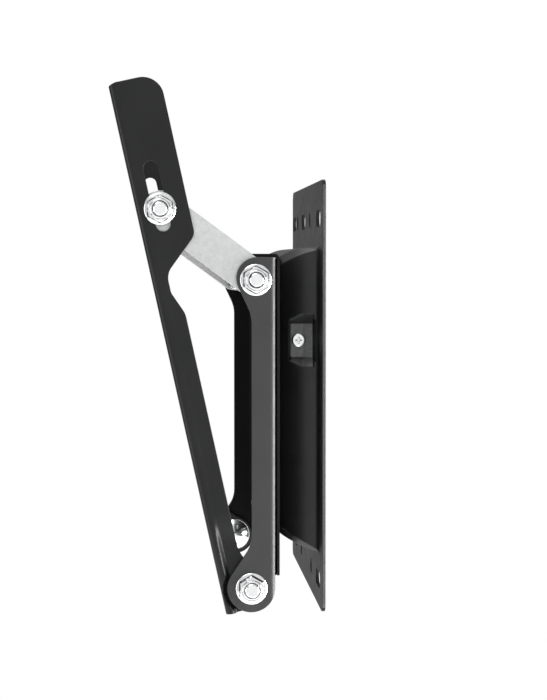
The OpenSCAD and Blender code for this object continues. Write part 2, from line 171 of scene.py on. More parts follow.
def grown(points, by):
    """A closed outline moved outwards, or inwards where by is negative."""
    area = sum(a.cross(b) for a, b in pairs(points))
    turn = 1 if area > 0 else -1
    moved = []
    for i, here in enumerate(points):
        into = (here - points[i - 1]).normalized()
        out = (points[(i + 1) % len(points)] - here).normalized()
        normal = Vector((into.y + out.y, -into.x - out.x)) * turn / 2
        moved.append(here + normal * by / max(normal.length_squared, MITRE))
    return moved


def smooth_step(x):
    """Rises from 0 to 1 with level ends."""
    x = min(max(x, 0.0), 1.0)
    return x * x * (3 - 2 * x)


def low_of(a, b, blend):
    """The smaller of two lengths, blended where they are close."""
    h = max(blend - abs(a - b), 0) / blend
    return min(a, b) - h * h * blend / 4


# ---- Mesh building ----

def sheet_loops(outline, holes, rim):
    """The edges of a sheet's flat faces, which end where its rounded edges begin."""
    return [grown(outline, -rim)] + [grown(hole, rim) for hole in holes]


def fold(run, radius, depth):
    """(forward, down) of a point in a sheet, by its run past the start of a quarter bend."""
    turn = min(max(run / radius, 0), pi / 2)
    past = max(run - radius * pi / 2, 0)
    reach = radius - depth
    return min(run, 0) + reach * sin(turn), radius - reach * cos(turn) + past


class Pattern:
    """A flat pattern of a sheet part, filled and cut up where the sheet will bend."""

    def __init__(self, loops):
        self.bm = bmesh.new()
        edges = []
        for points in loops:
            verts = [self.bm.verts.new((p.x, p.y, 0)) for p in points]
            edges += [self.bm.edges.new(pair) for pair in pairs(verts)]
        bmesh.ops.triangle_fill(self.bm, edges=edges, use_beauty=True, normal=(0, 0, 1))

    def cut(self, axis, values):
        """Splits the faces along lines at these values of u or v."""
        bm, normal = self.bm, Vector((1, 0, 0) if axis == "u" else (0, 1, 0))
        for value in values:
            geometry = bm.verts[:] + bm.edges[:] + bm.faces[:]
            bmesh.ops.bisect_plane(bm, geom=geometry, dist=0.002, plane_co=normal * value, plane_no=normal)

    def formed(self, place, thickness):
        """Front points, back points and faces, where place(u, v, depth) bends the sheet."""
        self.bm.verts.index_update()
        flat = [v.co.copy() for v in self.bm.verts]
        faces = [[v.index for v in f.verts] for f in self.bm.faces]
        self.bm.free()
        front = [Vector(place(p.x, p.y, 0)) for p in flat]
        back = [Vector(place(p.x, p.y, thickness)) for p in flat]
        return front, back, faces


def face_normal(points):
    normal = Vector()
    for a, b in pairs(points):
        normal += a.cross(b)
    return normal


def sheet_body(front, back, faces, rim):
    """A closed body from a sheet's two sides, with rounded edges.

    It returns points, faces and the number of the first point on an edge."""
    normals = [(f - b).normalized() for f, b in zip(front, back)]
    turned = []
    for face in faces:
        facing = face_normal([front[i] for i in face]).dot(normals[face[0]])
        turned.append(face if facing > 0 else face[::-1])
    sides = {side: True for face in turned for side in pairs(face)}
    borders = [(a, b) for a, b in sides if (b, a) not in sides]
    outwards = {}
    for a, b in borders:
        out = (front[b] - front[a]).normalized().cross(normals[a])
        outwards.setdefault(a, []).append(out)
        outwards.setdefault(b, []).append(out)
    count = len(front)
    points = front + back
    body = turned + [[i + count for i in reversed(face)] for face in turned]
    turns = [radians(90 * k / RIM_STEPS) for k in range(1, RIM_STEPS + 1)]
    profile = [(rim * sin(a), rim * (1 - cos(a))) for a in turns]  # (outwards, depth)
    ring_of = {}
    for i, outs in outwards.items():
        mean = sum(outs, Vector()) / len(outs)
        out = mean / max(mean.length_squared, MITRE)
        ring = [len(points) + k for k in range(2 * len(profile))]
        points += [front[i] + out * o - normals[i] * d for o, d in profile]
        points += [back[i] + out * o + normals[i] * d for o, d in reversed(profile)]
        ring_of[i] = [i] + ring + [i + count]
    for a, b in borders:
        for k in range(len(ring_of[a]) - 1):
            body.append([ring_of[b][k], ring_of[a][k], ring_of[a][k + 1], ring_of[b][k + 1]])
    return points, body, 2 * count


def lathe(profile, steps, reshape=None, shaded_points=()):
    """A body of revolution along +X from (height, radius) points.

    reshape(angle, height, radius) moves its points, and the last argument names profile points that a
    material darkens as painted shade."""
    points, faces = [], []
    weights = [float(point in shaded_points) for point in profile for _ in range(steps)]
    for height, r in profile:
        for i in range(steps):
            angle = tau * i / steps
            h, reach = reshape(angle, height, r) if reshape else (height, r)
            points.append(Vector((h, reach * cos(angle), reach * sin(angle))))
    for k in range(len(profile) - 1):
        for i in range(steps):
            j = (i + 1) % steps
            faces.append([k * steps + i, (k + 1) * steps + i, (k + 1) * steps + j, k * steps + j])
    if profile[0] != profile[-1]:
        faces.append(list(range(steps)))
        faces.append([(len(profile) - 1) * steps + i for i in reversed(range(steps))])
    return points, faces, weights


def add_object(name, data):
    added = bpy.data.objects.new(name, data)
    SCENE.collection.objects.link(added)
    return added


def rim_weights(body):
    """1 where a material tints an edge or a crevice, and 0 elsewhere.

    A lathed body brings its own list of crevice points, painted as shade, and a sheet is tinted along the
    middle of its cut edges: lighter on paint, partly as wear and partly as a painted highlight, and near
    black on zinc."""
    points, _, rim = body
    if isinstance(rim, list):
        return rim
    middle = (RIM_STEPS - 1, RIM_STEPS)
    return [float(i >= rim and (i - rim) % (2 * RIM_STEPS) in middle) for i in range(len(points))]


def joined(*bodies):
    """Several bodies as one."""
    points, faces, weights = [], [], []
    for body in bodies:
        faces += [[i + len(points) for i in face] for face in body[1]]
        points += body[0]
        weights += rim_weights(body)
    return points, faces, weights


def placed(body, x, at, side):
    """A lathed body moved to X and [Y, Z], and mirrored for the left side."""
    points = [Vector((p.x + x, p.y + at[0], p.z + at[1])) for p in body[0]]
    return on_side((points, body[1], body[2]), side)


def on_side(body, side):
    """The body itself, or its mirror image for the left side."""
    if side > 0:
        return body
    points = [Vector((-p.x, p.y, p.z)) for p in body[0]]
    return points, [face[::-1] for face in body[1]], body[2]


def make(name, body, cad_body, node, material, sharp=40, others=()):
    """An object in the frame that stands for a CAD node.

    others are (material, test of a face) pairs for faces that differ from the rest."""
    points, faces, _ = body
    mesh = bpy.data.meshes.new(name)
    mesh.from_pydata([p * MM for p in points], [], faces)
    mesh.update()
    mesh.set_sharp_from_angle(angle=radians(sharp))
    for polygon in mesh.polygons:
        polygon.use_smooth = True
    mesh.attributes.new("rim", "FLOAT", "POINT").data.foreach_set("value", rim_weights(body))
    piece = add_object(name, mesh)
    piece.modifiers.new("flat_faces", "WEIGHTED_NORMAL").keep_sharp = True
    mesh.materials.append(material)
    for number, (other, test) in enumerate(others, 1):
        mesh.materials.append(other)
        for polygon, face in zip(mesh.polygons, faces):
            if test(face):
                polygon.material_index = number
    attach(piece, cad_body)
    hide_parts(node)


# ---- Materials ----

class Graph:
    """The node graph of a material or a world, built with short calls."""

    def __init__(self, owner, shader, place):
        owner.use_nodes = True
        self.tree = owner.node_tree
        self.shader = self.tree.nodes[shader]
        self.place = self.node("TexCoord").outputs[place]

    def feed(self, value, socket):
        """Links another node's output to a socket, or sets a constant on it."""
        if isinstance(value, bpy.types.NodeSocket):
            self.tree.links.new(value, socket)
        else:
            socket.default_value = (*value, 1) if isinstance(value, tuple) else value

    def fill(self, node, **inputs):
        """Feeds a node's inputs, with _ for each space in a name."""
        for key, value in inputs.items():
            self.feed(value, node.inputs[key.replace("_", " ")])
        return node

    def node(self, kind, **inputs):
        return self.fill(self.tree.nodes.new("ShaderNode" + kind), **inputs)

    def set(self, **inputs):
        self.fill(self.shader, **inputs)

    def noise(self, scale, detail=2.0, roughness=0.5, stretch=None):
        place = self.place
        if stretch:
            place = self.node("Mapping", Scale=stretch, Vector=place).outputs["Vector"]
        noise = self.node("TexNoise", Scale=scale, Detail=detail, Roughness=roughness, Vector=place)
        return noise.outputs["Fac"]

    def ramp(self, factor, stops):
        """A colour or grey ramp from (position, colour) stops."""
        node = self.node("ValToRGB", Fac=factor)
        elements = node.color_ramp.elements
        while len(elements) < len(stops):
            elements.new(0.5)
        for element, (position, colour) in zip(elements, stops):
            element.position = position
            element.color = (*colour, 1) if isinstance(colour, tuple) else (colour, colour, colour, 1)
        return node.outputs["Color"]

    def mix(self, factor, a, b):
        """The colours a and b, mixed by the factor."""
        node = self.node("Mix")
        node.data_type = "RGBA"
        for value, number in ((factor, 0), (a, 6), (b, 7)):
            self.feed(value, node.inputs[number])
        return node.outputs[2]

    def maths(self, operation, *values):
        node = self.node("Math")
        node.operation = operation
        for value, socket in zip(values, node.inputs):
            self.feed(value, socket)
        return node.outputs[0]

    def attribute(self, name):
        node = self.node("Attribute")
        node.attribute_name = name
        return node.outputs["Fac"]

    def bump(self, *layers):
        """Stacks (height, strength, distance in metres) layers into the shader's normal."""
        below = {}
        for height, strength, distance in layers:
            node = self.node("Bump", Height=height, Strength=strength, Distance=distance, **below)
            below = {"Normal": node.outputs["Normal"]}
        self.set(**below)


def new_material(name):
    """A material and its graph."""
    material = bpy.data.materials.new(name)
    return material, Graph(material, "Principled BSDF", "Object")


DEEP_BLACK, PALE_BLACK = (0.0075, 0.0078, 0.0080), (0.0115, 0.0118, 0.0120)


def powder_coat(name, edge_wear_highlight_tint=(0.016, 0.016, 0.017), depth=1.0, gloss=0.5, roughness=0.33, cloud=28):
    """Satin black powder coat: orange peel, fine grain, faint dust, and along the edges a lighter tint that
    is partly thinner paint and partly a painted highlight. depth scales the base colour, for lighter and
    darker copies that stand in for light and shade.
    """
    material, g = new_material(name)
    dust = g.ramp(g.noise(2600, 2, 0.7), [(0.70, 0), (0.76, 1)])
    deep, pale = (tuple(depth * c for c in tone) for tone in (DEEP_BLACK, PALE_BLACK))
    paint = g.ramp(g.noise(cloud, 3), [(0.35, deep), (0.65, pale)])
    dusty = g.mix(g.maths("MULTIPLY", dust, 0.35), paint, (0.060, 0.060, 0.058))
    patches = g.ramp(g.noise(900, 4, 0.65), [(0.38, 0.45), (0.62, 1)])
    # Lighter tint along the middle of the cut edges: partly thinner paint, partly a painted highlight.
    edge_wear_and_highlight = g.maths("MULTIPLY", g.attribute("rim"), patches)
    g.set(Specular_IOR_Level=gloss, Base_Color=g.mix(edge_wear_and_highlight, dusty, edge_wear_highlight_tint),
          Roughness=g.ramp(g.noise(160, 3), [(0.3, roughness), (0.7, roughness + 0.1)]))
    g.bump((g.noise(520, 2), 0.30, 0.00006), (g.noise(3400, 2), 0.25, 0.00002))
    return material


def bright_zinc(name):
    """Bright zinc plating: a mirror dulled in patches, with fine turning marks and near-black painted shade
    in its corners and crevices.
    """
    material, g = new_material(name)
    cold, clean, warm = (0.80, 0.81, 0.83), (0.88, 0.89, 0.90), (0.86, 0.86, 0.84)
    tint = g.ramp(g.noise(90, 3), [(0.3, cold), (0.5, clean), (0.7, warm)])
    stains = g.ramp(g.noise(700, 4, 0.6), [(0.60, 0), (0.72, 1)])
    plated = g.mix(g.maths("MULTIPLY", stains, 0.35), tint, (0.55, 0.56, 0.57))
    patches = g.ramp(g.noise(300, 2), [(0.38, 0.40), (0.55, 1.0)])
    # Painted shade: the crevice mask darkens the plating nearly to black.
    crevice_shade = g.maths("MULTIPLY", g.attribute("rim"), patches)
    g.set(Metallic=1.0, Base_Color=g.mix(crevice_shade, plated, (0.020, 0.020, 0.021)),
          Roughness=g.ramp(g.noise(500, 4), [(0.3, 0.10), (0.7, 0.24)]))
    g.bump((g.noise(260, 2), 0.25, 0.00008), (g.noise(2200, 3, stretch=[6, 1, 1]), 0.12, 0.00003))
    return material


def dull_zinc(name):
    """Zinc-plated strip steel: soft grey mottle with a rolled grain, specks and a near-black line along the
    middle of its cut edges.
    """
    material, g = new_material(name)
    dark, mean, light = (0.57, 0.58, 0.58), (0.65, 0.66, 0.66), (0.73, 0.73, 0.72)
    mottle = g.ramp(g.noise(330, 5, 0.6), [(0.30, dark), (0.50, mean), (0.70, light)])
    grain = g.mix(0.35, mottle, g.ramp(g.noise(2600, 3, 0.7), [(0.35, 0.40), (0.65, 0.80)]))
    specks = g.ramp(g.noise(1500, 2, 0.5), [(0.70, 0), (0.74, 1)])
    speckled = g.mix(g.maths("MULTIPLY", specks, 0.5), grain, (0.36, 0.36, 0.35))
    patches = g.ramp(g.noise(1100, 3), [(0.35, 0.6), (0.65, 0.95)])
    # A near-black line along the middle of each cut edge.
    dark_edge_line = g.maths("MULTIPLY", g.attribute("rim"), patches)
    g.set(Metallic=1.0, Base_Color=g.mix(dark_edge_line, speckled, (0.06, 0.06, 0.06)),
          Roughness=g.ramp(g.noise(600, 4), [(0.3, 0.36), (0.7, 0.52)]))
    g.bump((g.noise(900, 4, 0.6), 0.30, 0.00006), (g.noise(4200, 2), 0.20, 0.00002))
    return material


def natural_nylon(name):
    """Moulded nylon: milky, slightly translucent, with a fine matt surface."""
    material, g = new_material(name)
    milky = g.ramp(g.noise(220, 3), [(0.3, (0.74, 0.73, 0.68)), (0.7, (0.82, 0.81, 0.77))])
    g.set(Subsurface_Weight=0.15, Subsurface_Scale=0.001, Base_Color=milky,
          Roughness=g.ramp(g.noise(900, 2), [(0.3, 0.42), (0.7, 0.55)]))
    g.bump((g.noise(2400, 3), 0.25, 0.00003))
    return material


CRADLE_PAINT = powder_coat("powder_coat_cradle", gloss=0.75, roughness=0.40)
# A darker copy of the paint, painted shade on the rails, with a lighter edge tint that is partly a painted
# highlight.
RAIL_PAINT = powder_coat("powder_coat_rails", edge_wear_highlight_tint=(0.035, 0.035, 0.036), depth=0.7, gloss=0.29)
# A darker, duller copy of the paint: painted shade on the channel's inner faces and the walls of the plate's
# holes and slots.
INSIDE_SHADE_PAINT = powder_coat("powder_coat_painted_shade_inside", depth=0.3, gloss=0.12, roughness=0.5)
# A near-black, dull copy of the paint: painted shade on the hanger plate, which sits in the channel's
# shadow.
HANGER_SHADE_PAINT = powder_coat("powder_coat_painted_shade_hanger", depth=0.4, gloss=0.04, roughness=0.4)
# The wall plate's paint: its light edge tint is partly thinner paint and partly a painted highlight along
# the plate's edges.
EDGE_WEAR_HIGHLIGHT_PAINT = powder_coat("powder_coat_worn_highlit_edges", edge_wear_highlight_tint=(0.09, 0.09, 0.093))
# A much lighter copy of the paint: a painted highlight on the lock screw's land.
LAND_HIGHLIGHT_PAINT = powder_coat("powder_coat_painted_highlight_land", depth=9.5, gloss=0.9, cloud=520)
BRIGHT = bright_zinc("bright_zinc_plate")
DULL = dull_zinc("dull_zinc_plate")
PLASTIC = natural_nylon("natural_nylon")


# ---- Wall plate ----

PLATE_CORNER = 6.0
PLATE_RIM = 0.45  # rounding of its edges
WALL_SLOT = 26.0
WALL_HOLE = 2 * mount("wall_rounds_upper")["dims"]["hole_r_mm"]
BOX_W, BOX_H = 176.0, 174.0  # drawn box where it leaves the plate
BOX_DROP = 3.5  # its middle, below the middle of the plate
FACET_FOOT, FACET_TOP = 0.6, 5.2  # legs of the box's corner facets, at the plate and at the front
FACET_R = 0.9  # bend at each side of a facet
CROWN_R, CROWN_SLOPE = 45.0, 0.15
FOOT_R = 2.6  # fillet between plate and box
BROW_R = 3.4  # fillet between the box's walls and its front
LAND_HALF = 9.5  # the pressed land for the lock screw
LAND_BACK, LAND_FRONT = -5.0, -18.0
LAND_CREASE, LAND_DEEP = -10.9, 2.4
LAND_BLEND = 0.7  # how softly the recess runs into the box's wall
CREASE_SLOPE = 0.30  # lean of the land behind its crease
BACK_SLOPE, FRONT_SLOPE = 8, 3  # steepness of the recess's ends
FACET_SHARE = 0.586  # what a facet's leg loses of an inward offset
RING_STEP = 0.55  # height between points beside the recess
HOOK_X, TAB_X = 52.0, 68.0  # slots in the box's front for the hanger plate
HOOK_UPS = (46.0, -52.0)
HOOK_SLOT, TAB_SLOT, SLIT_HALF = (-8.5, 10.5), (-9.0, 9.0), 2.0
SCREW_HEAD_H = 2.8
BOX_Z = PLATE_MIDDLE - BOX_DROP
LAND_X = mm_box("lock_screw_right")[1].x - SCREW_HEAD_H
LAND_Z = LOCK_AXIS[1]


def crown(height):
    """How far the box's walls lean inwards at a height above the plate."""
    return CROWN_R - sqrt(CROWN_R ** 2 - height ** 2) + CROWN_SLOPE * height


def box_profile():
    """(inset, y) points from the plate's face over the foot, up the wall and onto the front."""
    def on_wall(height):
        return Vector((crown(height), -SHEET - height))

    def bend(a, b, c):
        return [a.lerp(b, i / 6).lerp(b.lerp(c, i / 6), i / 6) for i in range(7)]

    deep = BOX_FRONT - SHEET
    top = deep - BROW_R
    rows = 28
    foot = bend(Vector((-FOOT_R, -SHEET)), Vector((0, -SHEET)), on_wall(FOOT_R))
    brow = bend(on_wall(top), on_wall(deep), on_wall(deep) + Vector((BROW_R, 0)))
    return foot + [on_wall(FOOT_R + (top - FOOT_R) * i / rows) for i in range(1, rows)] + brow


def recess_x(y, z):
    """X of the pressed recess round a lock screw, rising to every side of its flat land."""
    over_z = max(abs(z - LAND_Z) - LAND_HALF, 0)
    over_back = max(y - LAND_BACK, 0)
    over_front = max(LAND_FRONT - y, 0)
    crease = CREASE_SLOPE * max(y - LAND_CREASE, 0)
    return LAND_X + crease + over_z + BACK_SLOPE * over_back + FRONT_SLOPE * over_front


def facet_leg(y):
    """Leg of the box's corner facets, which widen from the plate to the front."""
    height = min(max((-SHEET - y) / (BOX_FRONT - SHEET), 0), 1)
    return FACET_FOOT + (FACET_TOP - FACET_FOOT) * (1 - (1 - height) ** 2)


def box_corner(at, leg, a, b):
    """Points round one corner from the side that faces a to the side that faces b."""
    reach = leg + FACET_R * tan(pi / 8)
    points = []
    for start, centre in ((0, at - a * FACET_R - b * reach), (45, at - a * reach - b * FACET_R)):
        for k in range(4):
            turn = radians(start + 15 * k)
            points.append(centre + (a * cos(turn) + b * sin(turn)) * FACET_R)
    return points


def box_ring(inset, leg):
    """One closed loop round the box, dense beside the lock screws' recesses."""
    half_w, bottom = BOX_W / 2 - inset, BOX_H / 2 - inset
    half_h = bottom + leg - FACET_FOOT
    corner = leg + FACET_R * tan(pi / 8)
    low, high = -bottom + corner, half_h - corner
    dense = [LAND_Z - BOX_Z + LAND_HALF + step * RING_STEP for step in range(-55, 21)]
    side = [low + (dense[0] - low) * i / 14 for i in range(14)] + dense
    side += [dense[-1] + (high - dense[-1]) * i / 6 for i in range(1, 7)]
    across = [-half_w + corner + (2 * half_w - 2 * corner) * i / 24 for i in range(1, 24)]
    right, up = Vector((1, 0)), Vector((0, 1))
    loop = [Vector((half_w, z)) for z in side[1:-1]]
    loop += box_corner(Vector((half_w, half_h)), leg, right, up)
    loop += [Vector((-x, half_h)) for x in across]
    loop += box_corner(Vector((-half_w, half_h)), leg, up, -right)
    loop += [Vector((-half_w, z)) for z in reversed(side[1:-1])]
    loop += box_corner(Vector((-half_w, -bottom)), leg, -right, -up)
    loop += [Vector((x, -bottom)) for x in across]
    loop += box_corner(Vector((half_w, -bottom)), leg, -up, right)
    return [Vector((p.x, p.y + BOX_Z)) for p in loop]


def box_rings():
    """Loops of (face, hollow) points round the box, from the plate's face to the box's front."""
    profile = box_profile()
    rings = []
    for i, (inset, y) in enumerate(profile):
        out = Vector((0, -1))  # (outwards, along Y)
        if 0 < i < len(profile) - 1:
            along = (profile[i + 1] - profile[i - 1]).normalized()
            out = Vector((abs(along.y), -abs(along.x)))
        leg = facet_leg(y)
        back_leg = max(leg - FACET_SHARE * out.x * SHEET, FACET_FOOT)
        back_y = y - out.y * SHEET
        row = []
        for p, q in zip(box_ring(inset, leg), box_ring(inset + out.x * SHEET, back_leg)):
            x, x_back = abs(p.x), abs(q.x)
            if x > BOX_W / 2 - CROWN_R / 2:
                x = low_of(x, recess_x(y, p.y), LAND_BLEND)
                x_back = low_of(x_back, recess_x(back_y, q.y) - SHEET, LAND_BLEND)
            row.append((Vector((copysign(x, p.x), y, p.y)),
                        Vector((copysign(x_back, q.x), back_y, q.y))))
        rings.append(row)
    return rings


def wall_holes():
    """Outlines of the plate's round holes and slots."""
    holes = []
    for row, inner in (("upper", ["wall_slots_upper_inner"]), ("lower", [])):
        z = mount(f"wall_rounds_{row}")["pos_m"][2] / MM
        holes += [circle(x, z, WALL_HOLE / 2) for x in hole_xs(f"wall_rounds_{row}")]
        slots = {round(x, 3) for line in [f"wall_slots_{row}"] + inner for x in hole_xs(line)}
        holes += [oblong(x, z, WALL_SLOT, WALL_HOLE) for x in sorted(slots)]
    return holes


def front_slits():
    """Outlines of the slots for the hanger plate's hooks and tabs."""
    def slit(x, z, ends):
        low, high = z + ends[0], z + ends[1]
        left, right = x - SLIT_HALF, x + SLIT_HALF
        return rounded([(left, low, 0.5), (right, low, 0.5), (right, high, 0.5), (left, high, 0.5)])

    slits = []
    for sx in (-1, 1):
        slits += [slit(sx * HOOK_X, PLATE_MIDDLE + up, HOOK_SLOT) for up in HOOK_UPS]
        slits.append(slit(sx * TAB_X, LAND_Z, TAB_SLOT))
    return slits


def wall_plate():
    """The wall plate with its drawn box, lock screw recesses, holes and slots."""
    middle = PLATE_MIDDLE
    rings = box_rings()
    fronts, backs, faces = [], [], []

    def fill_flat(loops, y_front, y_back):
        """Adds a flat region between loops of [X, Z] and returns the first index of each loop."""
        start = len(fronts)
        f, b, new = Pattern(loops).formed(
            lambda u, v, d: (u, y_front + (y_back - y_front) * d / SHEET, v), SHEET)
        fronts.extend(f)
        backs.extend(b)
        faces.extend([[i + start for i in face] for face in new])
        starts = [start]
        for loop in loops:
            starts.append(starts[-1] + len(loop))
        return starts

    # the flat plate round the box, with its wall holes
    w, h = (PLATE_HIGH.x - PLATE_LOW.x) / 2, (PLATE_HIGH.z - PLATE_LOW.z) / 2
    outline = rounded([(w, middle - h, PLATE_CORNER), (w, middle + h, PLATE_CORNER),
                       (-w, middle + h, PLATE_CORNER), (-w, middle - h, PLATE_CORNER)])
    foot_loop = [f.xz for f, _ in rings[0]]
    plate_loops = [grown(outline, -PLATE_RIM), foot_loop] + [grown(hole, PLATE_RIM) for hole in wall_holes()]
    foot_start = fill_flat(plate_loops, -SHEET, 0)[1]

    # the box's front, with the slots for the hanger plate
    brow_loop = [f.xz for f, _ in rings[-1]]
    front_loops = [brow_loop] + [grown(slit, PLATE_RIM) for slit in front_slits()]
    brow_start = fill_flat(front_loops, -BOX_FRONT, -BOX_FRONT + SHEET)[0]

    # the foot, walls and brow between them
    count = len(rings[0])
    starts = [foot_start]
    for row in rings[1:-1]:
        starts.append(len(fronts))
        fronts.extend(f for f, _ in row)
        backs.extend(b for _, b in row)
    starts.append(brow_start)
    for a, b in zip(starts, starts[1:]):
        for i in range(count):
            j = (i + 1) % count
            faces.append([a + i, a + j, b + j, b + i])
    body = sheet_body(fronts, backs, faces, PLATE_RIM)

    def centre(face):
        return sum((body[0][i] for i in face), Vector()) / len(face)

    def in_hole(face):
        """Whether a face is on the rim of a hole or slot."""
        p = centre(face)
        inside = abs(p.x) < w - 1 and abs(p.z - middle) < h - 1
        return inside and all(i >= body[2] for i in face)

    def on_land(face):
        """Whether a face is on the flat land of a lock screw's recess."""
        p = centre(face)
        beside = abs(p.z - LAND_Z) < LAND_HALF and LAND_FRONT - 0.5 < p.y < LAND_BACK + 0.1
        return beside and -0.5 < abs(p.x) - LAND_X < LAND_DEEP

    # The land takes the lighter copy of the paint, a painted highlight, and the hole and slot walls the
    # darker one, painted shade.
    make("wall_plate_pressing", body, "wall_side", "wall_plate", EDGE_WEAR_HIGHLIGHT_PAINT, sharp=32,
         others=[(LAND_HIGHLIGHT_PAINT, on_land), (INSIDE_SHADE_PAINT, in_hole)])


# ---- Hanger plate ----

HANGER_T = 1.6
HANGER_BEND = 2.4
HANGER_RIM = 0.25
HOOK_T = 2.0
LIP_GAP = 0.6  # between the lip and the links
# (behind the plate, up, radius) corners of the fins on the hanger plate's back
HOOK = ((-0.8, 0, 0), (SHEET + 0.5, 0, 0.6), (SHEET + 0.5, -8, 0.8), (6, -8, 1.5), (6, 10, 2), (-0.8, 10, 0))
TAB = ((-0.8, -8, 0), (18, -8, 2), (18, 8, 2), (-0.8, 8, 0))


def flat_body(outline, holes, place, thickness, rim):
    """A flat sheet from an outline and its holes."""
    pattern = Pattern(sheet_loops(outline, holes, rim))
    return sheet_body(*pattern.formed(place, thickness), rim)


def hanger_plate():
    """The hanger plate with its lip, and the hooks and lock tabs on its back."""
    low, high = mm_box("hanger_plate")
    lip_w = mm_box("link_right")[0].x - LIP_GAP
    back_y = -BOX_FRONT
    bend_z = high.z - HANGER_BEND
    quarter = pi / 2 * HANGER_BEND
    lip = abs(low.y) - BOX_FRONT - HANGER_BEND
    top = bend_z + quarter + lip
    shoulder = bend_z - 0.5

    def place(u, v, d):
        up, forward = fold(v - bend_z, HANGER_BEND, d)
        return u, back_y - forward, bend_z + up

    half = [(high.x, low.z, 1), (high.x, shoulder, 0.6), (lip_w, shoulder, 0), (lip_w, top, 1.5)]
    outline = rounded(half + [(-x, z, radius) for x, z, radius in reversed(half)])
    pattern = Pattern(sheet_loops(outline, [], HANGER_RIM))
    pattern.cut("v", [bend_z + quarter * i / 7 for i in range(8)])
    bodies = [sheet_body(*pattern.formed(place, HANGER_T), HANGER_RIM)]

    def fin(x, z, corners):
        side = rounded([(back_y + behind, z + up, radius) for behind, up, radius in corners])
        bodies.append(flat_body(side, [], lambda u, v, d: (x + HOOK_T / 2 - d, u, v), HOOK_T, HANGER_RIM))

    for sx in (-1, 1):
        for up in HOOK_UPS:
            fin(sx * HOOK_X, PLATE_MIDDLE + up, HOOK)
        fin(sx * TAB_X, LAND_Z, TAB)
    # The hanger plate takes the near-black copy of the paint: painted shade.
    make("hanger_plate_pressing", joined(*bodies), "wall_side", "hanger_plate", HANGER_SHADE_PAINT, sharp=50)


# ---- Cradle ----

CRADLE_BEND = 4.0
FLANGE_D = 14.2
TOP_LOBE_BACK = 3.2  # its centre, behind the flange's front
TOP_LOBE_R, TOP_SLOPE, TOP_FILLET = 11.8, 25.0, 20.0
LOW_LOBE_R, LOW_SLOPE, LOW_FILLET = 13.6, 33.7, 18.0
CRADLE_RIM = 0.35
BOLT_HOLE = 8.4


def cradle():
    """The U-shaped channel, with a lobe at both ends of each flange."""
    low, high = mm_box("cradle_channel")
    outer, web_y, top = high.x, high.y, high.z
    front = web_y - FLANGE_D
    web_bottom = mm_box("hanger_plate")[0].z
    bend_x, bend_y = outer - CRADLE_BEND, web_y - CRADLE_BEND
    quarter = pi / 2 * CRADLE_BEND

    def place(u, v, d):
        across, forward = fold(abs(u) - bend_x, CRADLE_BEND, d)
        return copysign(bend_x + across, u), web_y - forward, v

    def unbend(y):
        """u of a point of the flange's outer face."""
        if y <= bend_y:
            return bend_x + quarter + bend_y - y
        return bend_x + CRADLE_BEND * acos(min((y - bend_y) / CRADLE_BEND, 1))

    def slope_corners(lobe, radius, slope, up):
        """Where a slope beside a round lobe meets the lobe's level edge and the straight front."""
        run = lobe[0] - radius / cos(radians(slope))
        rise = tan(radians(slope))
        return (run - radius * rise, lobe[1] + up * radius), (front, lobe[1] - up * (front - run) / rise)

    top_lobe = (front + TOP_LOBE_BACK, top - TOP_LOBE_R)
    top_tip, top_corner = slope_corners(top_lobe, TOP_LOBE_R, TOP_SLOPE, 1)
    _, low_corner = slope_corners(LOWER_PIVOT, LOW_LOBE_R, LOW_SLOPE, -1)
    low_back = LOWER_PIVOT[0] + LOW_LOBE_R
    lobe = arc(LOWER_PIVOT, LOWER_PIVOT[1] - low.z, 180 - LOW_SLOPE, 360)
    side = rounded([
        (web_y, top, 0), (*top_tip, TOP_LOBE_R), (*top_corner, TOP_FILLET), (*low_corner, LOW_FILLET),
        *[(p.x, p.y, 0) for p in lobe], (low_back, web_bottom, 0), (web_y, web_bottom, 0),
    ])
    flange = [Vector((unbend(p.x), p.y)) for p in side]
    outline = flange + [Vector((-p.x, p.y)) for p in reversed(flange)]
    pivots = (LOWER_PIVOT, UPPER_PIVOT)
    holes = [circle(sx * unbend(at[0]), at[1], BOLT_HOLE / 2) for sx in (1, -1) for at in pivots]
    pattern = Pattern(sheet_loops(outline, holes, CRADLE_RIM))
    bends = [bend_x + quarter * i / 10 for i in range(11)]
    pattern.cut("u", bends + [-u for u in bends])
    body = sheet_body(*pattern.formed(place, SHEET), CRADLE_RIM)

    def in_hollow(face):
        return all(body[2] // 2 <= i < body[2] for i in face)

    # The channel's inner faces take the darker copy of the paint: painted shade.
    make("cradle_pressing", body, "wall_side", "cradle_channel", CRADLE_PAINT, sharp=50,
         others=[(INSIDE_SHADE_PAINT, in_hollow)])


# ---- Rails ----

RAIL_BEND = 3.5
RAIL_FRONT, RAIL_BACK = 17.1, 12.0
RAIL_BELOW, RAIL_ABOVE = 11.8, 293.35
RAIL_RIM = 0.35
STRIP_W = 26.0
STRIP_FOOT, STRIP_HEAD = 0.3, 1.5  # how far the strip stops short of the side flange's ends
LOWER_BACK, KNEE = -2.7, 159.5
WAIST_LOW, WAIST, WAIST_HIGH, SHOULDER = 172.5, -8.0, 183.4, 201.4
EAR_FILLET = 20.0
STEP = 3.0  # how far the ear is set inwards
STEP_TOP, STEP_FADE = 26.0, 30.0  # where the full step ends, and the run that takes it out
STEP_END, LOBE_GAP = -10.3, 0.4  # its edge above the cradle's lobe, and its gap round the lobe
BEAD, BEAD_LOW, BEAD_TOP = 0.30, 40.0, 205.0  # shallow bead above, which fades between these heights
SLOPE_W, SLOPE_LOSS, SLOPE_RUN = 3.2, 1.4, 60.0  # width of the step's slope, and how it narrows
CUT_BACK, CUT_UP, CUT_HIGH = 0.45, 1.6, 9.0  # spacing of the points that carry step and bead
SLOT_FRONT, SLOT_MID = -4.0, 226.9
SLOT_L, SLOT_W = 40.0, 8.4
